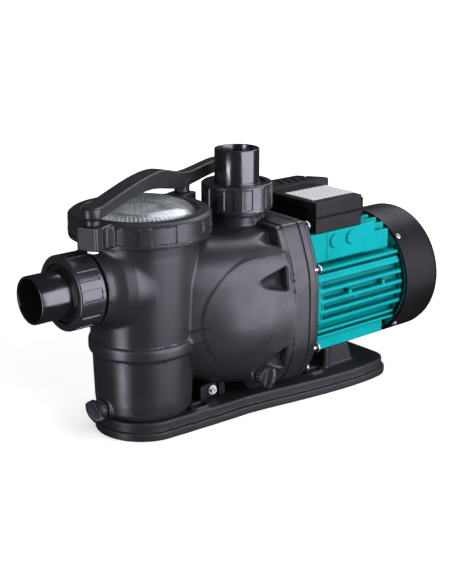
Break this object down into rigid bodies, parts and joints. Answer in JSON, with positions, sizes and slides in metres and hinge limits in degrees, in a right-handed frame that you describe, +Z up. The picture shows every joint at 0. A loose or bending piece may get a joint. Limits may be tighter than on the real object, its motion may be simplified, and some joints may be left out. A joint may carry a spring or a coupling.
{
  "type": "pool pump",
  "caption": "Self-priming pool pump: strainer pot with clear lid, locking ring and lever, pipe unions on suction and discharge, ribbed motor with fan cover, terminal box and base.",
  "frame": {"origin": "on the underside of the base plate, below the discharge axis, in the pump's middle plane", "axes": "+X along the shaft towards the fan, -X towards the suction pipe, +Z up along the discharge, -Y towards the casing drain plug"},
  "size_m": [0.533, 0.183, 0.29],
  "materials": {
    "charcoal_plastic": "moulded glass-filled plastic, satin",
    "black_plastic": "moulded plastic, fine satin grain",
    "gloss_black": "smooth glossy plastic",
    "teal_paint": "powder coat on die-cast aluminium, satin",
    "steel": "zinc or stainless, machined",
    "rubber": "moulded rubber",
    "clear_plastic": "clear polycarbonate, polished",
    "label_foil": "blank foil plate",
    "natural_plastic": "natural plastic",
    "ceramic_white": "ground ceramic",
    "iron": "electrical steel laminations",
    "copper": "enamelled copper wire"
  },
  "bodies": {
    "pump": {"base_plate": "black_plastic", "motor_pad": "rubber", "foot_bracket": "black_plastic", "pump_casing": "charcoal_plastic", "rear_bracket": "charcoal_plastic", "foot_screw_near": "steel", "foot_screw_far": "steel", "flange_bolt_1": "steel", "flange_bolt_2": "steel", "flange_bolt_3": "steel", "flange_bolt_4": "steel", "flange_bolt_5": "steel", "flange_bolt_6": "steel", "flange_bolt_7": "steel", "flange_bolt_8": "steel", "casing_o_ring": "rubber", "diffuser": "natural_plastic", "seal_seat": "ceramic_white", "stator_core": "iron", "stator_winding": "copper", "front_bearing": "steel", "rear_bearing": "steel", "rear_end_shield": "teal_paint", "fan_cover": "black_plastic", "fan_cover_screw_1": "steel", "fan_cover_screw_2": "steel", "fan_cover_screw_3": "steel", "fan_cover_screw_4": "steel", "motor_housing": "teal_paint", "terminal_box_base": "black_plastic", "terminal_box_gasket": "rubber", "terminal_box_cover": "black_plastic", "rating_plate": "label_foil", "capacitor": "gloss_black", "terminal_block": "natural_plastic", "cable_gland": "black_plastic", "lid_o_ring": "rubber", "suction_o_ring": "rubber", "discharge_o_ring": "rubber"},
    "shaft_line": {"motor_shaft": "steel", "rotor_core": "iron", "impeller": "natural_plastic", "impeller_nut": "steel", "seal_rotor": "steel", "cooling_fan": "black_plastic"},
    "lid": {"clear_lid": "clear_plastic"},
    "lid_ring": {"lid_ring": "charcoal_plastic", "lid_lever": "charcoal_plastic", "lever_screw": "steel", "lever_pin": "steel"},
    "basket": {"strainer_basket": "natural_plastic"},
    "suction_tail": {"suction_tailpiece": "gloss_black"},
    "suction_nut": {"suction_union_nut": "charcoal_plastic"},
    "discharge_tail": {"discharge_tailpiece": "gloss_black"},
    "discharge_nut": {"discharge_union_nut": "charcoal_plastic"},
    "strainer_drain_seal": {"strainer_drain_o_ring": "rubber"},
    "strainer_drain": {"strainer_drain_plug": "charcoal_plastic"},
    "casing_drain_seal": {"casing_drain_o_ring": "rubber"},
    "casing_drain": {"casing_drain_plug": "charcoal_plastic"}
  },
  "joints": [
    {"name": "shaft_spin", "type": "hinge", "parent": "pump", "child": "shaft_line", "pos_m": [0, 0, 0.1094], "axis": [1, 0, 0], "continuous": true},
    {"name": "lid_lift", "type": "slide", "parent": "pump", "child": "lid", "axis": [0, 0, 1], "range_m": [0, 0.24]},
    {"name": "lid_ring_turn", "type": "hinge", "parent": "lid", "child": "lid_ring", "pos_m": [-0.1335, 0, 0.23], "axis": [0, 0, 1], "range_deg": [0, 75]},
    {"name": "basket_lift", "type": "slide", "parent": "pump", "child": "basket", "axis": [0, 0, 1], "range_m": [0, 0.216]},
    {"name": "suction_tail_slide", "type": "slide", "parent": "pump", "child": "suction_tail", "axis": [-1, 0, 0], "range_m": [0, 0.024]},
    {"name": "suction_nut_turn", "type": "hinge", "parent": "suction_tail", "child": "suction_nut", "pos_m": [-0.22, 0, 0.1694], "axis": [-1, 0, 0], "range_deg": [0, 2160]},
    {"name": "discharge_tail_slide", "type": "slide", "parent": "pump", "child": "discharge_tail", "axis": [0, 0, 1], "range_m": [0, 0.024]},
    {"name": "discharge_nut_turn", "type": "hinge", "parent": "discharge_tail", "child": "discharge_nut", "pos_m": [0, 0, 0.24], "axis": [0, 0, 1], "range_deg": [0, 2160]},
    {"name": "strainer_drain_slide", "type": "slide", "parent": "pump", "child": "strainer_drain_seal", "axis": [-1, 0, 0], "range_m": [0, 0.01]},
    {"name": "strainer_drain_turn", "type": "hinge", "parent": "strainer_drain_seal", "child": "strainer_drain", "pos_m": [-0.19, 0, 0.031], "axis": [-1, 0, 0], "range_deg": [0, 1800]},
    {"name": "casing_drain_slide", "type": "slide", "parent": "pump", "child": "casing_drain_seal", "axis": [0, -1, 0], "range_m": [0, 0.01]},
    {"name": "casing_drain_turn", "type": "hinge", "parent": "casing_drain_seal", "child": "casing_drain", "pos_m": [-0.027, -0.08, 0.052], "axis": [0, -1, 0], "range_deg": [0, 1800]}
  ],
  "couplings": [
    {"joint": "basket_lift", "follows": "lid_lift", "ratio": 0.9},
    {"joint": "suction_tail_slide", "follows": "suction_nut_turn", "m_per_rad": 0.0006366},
    {"joint": "discharge_tail_slide", "follows": "discharge_nut_turn", "m_per_rad": 0.0006366},
    {"joint": "strainer_drain_slide", "follows": "strainer_drain_turn", "m_per_rad": 0.0003183},
    {"joint": "casing_drain_slide", "follows": "casing_drain_turn", "m_per_rad": 0.0003183}
  ]
}
